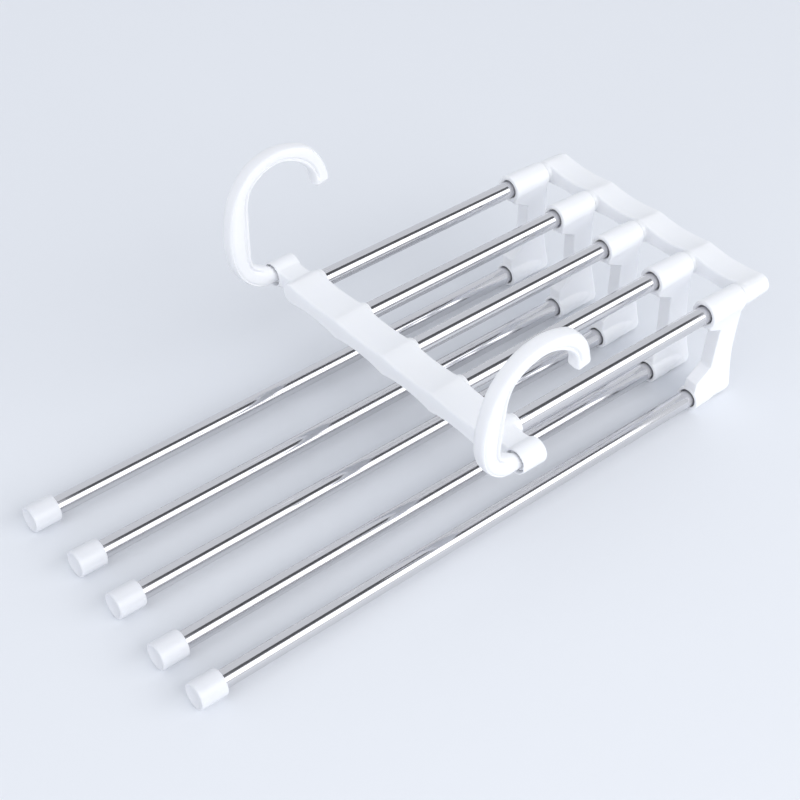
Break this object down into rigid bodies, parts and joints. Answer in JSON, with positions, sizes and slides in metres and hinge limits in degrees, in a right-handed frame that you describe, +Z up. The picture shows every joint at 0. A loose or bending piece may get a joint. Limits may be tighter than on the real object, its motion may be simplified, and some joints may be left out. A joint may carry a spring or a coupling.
{
  "type": "multi-tier hanger",
  "caption": "Tiered trouser rack: steel rods in plastic brackets that swing under a frame, with capped free ends and folding hooks.",
  "frame": {"origin": "on the surface that the rack stands on, midway along it and midway between the outer tiers", "axes": "+X along the rods from the end caps to the brackets, +Y across the tiers towards the far hook, +Z up"},
  "size_m": [0.362, 0.201, 0.1402],
  "materials": {
    "plastic": "moulded white polypropylene",
    "steel": "polished stainless tube"
  },
  "bodies": {
    "frame": {"hook_bar": "plastic", "end_bar": "plastic"},
    "tier_1": {"upper_rod_1": "steel", "bracket_1": "plastic", "lower_rod_1": "steel", "end_cap_1": "plastic"},
    "tier_2": {"upper_rod_2": "steel", "bracket_2": "plastic", "lower_rod_2": "steel", "end_cap_2": "plastic"},
    "tier_3": {"upper_rod_3": "steel", "bracket_3": "plastic", "lower_rod_3": "steel", "end_cap_3": "plastic"},
    "tier_4": {"upper_rod_4": "steel", "bracket_4": "plastic", "lower_rod_4": "steel", "end_cap_4": "plastic"},
    "tier_5": {"upper_rod_5": "steel", "bracket_5": "plastic", "lower_rod_5": "steel", "end_cap_5": "plastic"},
    "far_hook": {"far_hook": "plastic"},
    "near_hook": {"near_hook": "plastic"}
  },
  "joints": [
    {"name": "tier_swing_1", "type": "hinge", "parent": "frame", "child": "tier_1", "pos_m": [0.1, 0.0728, 0.06819], "axis": [1, 0, 0], "range_deg": [-60, 60]},
    {"name": "tier_swing_2", "type": "hinge", "parent": "frame", "child": "tier_2", "pos_m": [0.1, 0.0364, 0.06819], "axis": [1, 0, 0], "range_deg": [-60, 60]},
    {"name": "tier_swing_3", "type": "hinge", "parent": "frame", "child": "tier_3", "pos_m": [0.1, 0, 0.06819], "axis": [1, 0, 0], "range_deg": [-60, 60]},
    {"name": "tier_swing_4", "type": "hinge", "parent": "frame", "child": "tier_4", "pos_m": [0.1, -0.0364, 0.06819], "axis": [1, 0, 0], "range_deg": [-60, 60]},
    {"name": "tier_swing_5", "type": "hinge", "parent": "frame", "child": "tier_5", "pos_m": [0.1, -0.0728, 0.06819], "axis": [1, 0, 0], "range_deg": [-60, 60]},
    {"name": "far_hook_fold", "type": "hinge", "parent": "frame", "child": "far_hook", "pos_m": [-0.006, 0.0921, 0.06819], "axis": [1, 0, 0], "range_deg": [-86.5, 78.5]},
    {"name": "near_hook_fold", "type": "hinge", "parent": "frame", "child": "near_hook", "pos_m": [-0.006, -0.0921, 0.06819], "axis": [1, 0, 0], "range_deg": [-78.5, 86.5]}
  ],
  "couplings": [
    {"joint": "tier_swing_2", "follows": "tier_swing_1", "ratio": 1},
    {"joint": "tier_swing_3", "follows": "tier_swing_1", "ratio": 1},
    {"joint": "tier_swing_4", "follows": "tier_swing_1", "ratio": 1},
    {"joint": "tier_swing_5", "follows": "tier_swing_1", "ratio": 1}
  ]
}
